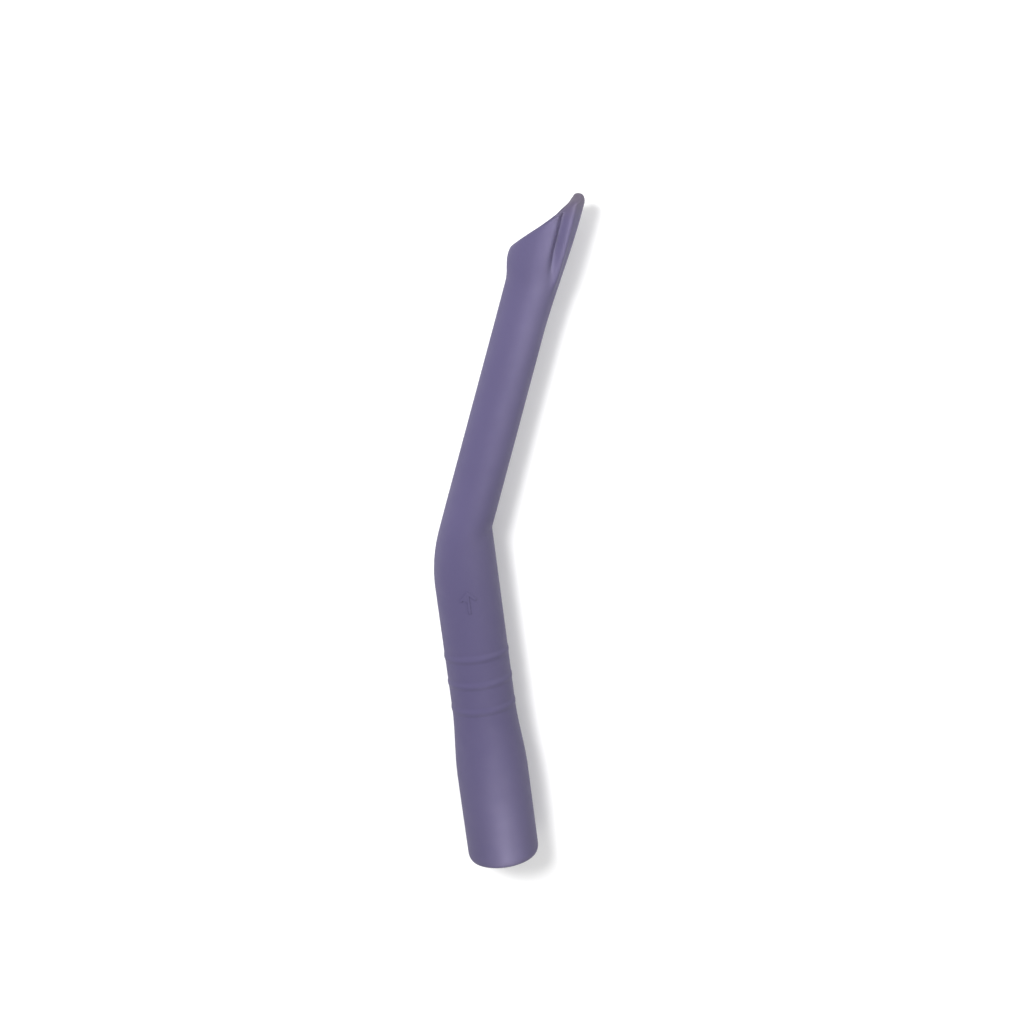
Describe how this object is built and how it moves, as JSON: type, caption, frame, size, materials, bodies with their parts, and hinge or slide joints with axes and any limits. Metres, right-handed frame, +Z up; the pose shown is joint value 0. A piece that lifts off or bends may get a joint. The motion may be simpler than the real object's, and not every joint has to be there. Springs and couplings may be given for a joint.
{
  "type": "dental suction tip",
  "caption": "Bent suction tip for a dental aspirator: a round plug end, a grip with raised rings, a slim cannula and a bevelled, scooped mouth.",
  "frame": {"origin": "centre of the plug's open end", "axes": "+Y along the plug and the grip towards the mouth, +X towards the side that the cannula bends to, +Z up out of the side that carries the arrow, with the tip lying on its side"},
  "size_m": [0.0428, 0.1438, 0.016],
  "materials": {
    "purple_plastic": "satin moulded polypropylene, greyish lavender"
  },
  "bodies": {
    "root": {"connector_plug": "purple_plastic", "grip_tube": "purple_plastic", "grip_ring_1": "purple_plastic", "grip_ring_2": "purple_plastic", "grip_ring_3": "purple_plastic", "elbow": "purple_plastic", "orientation_arrow": "purple_plastic", "cannula_tube": "purple_plastic", "mouth_scoop": "purple_plastic"}
  },
  "joints": []
}
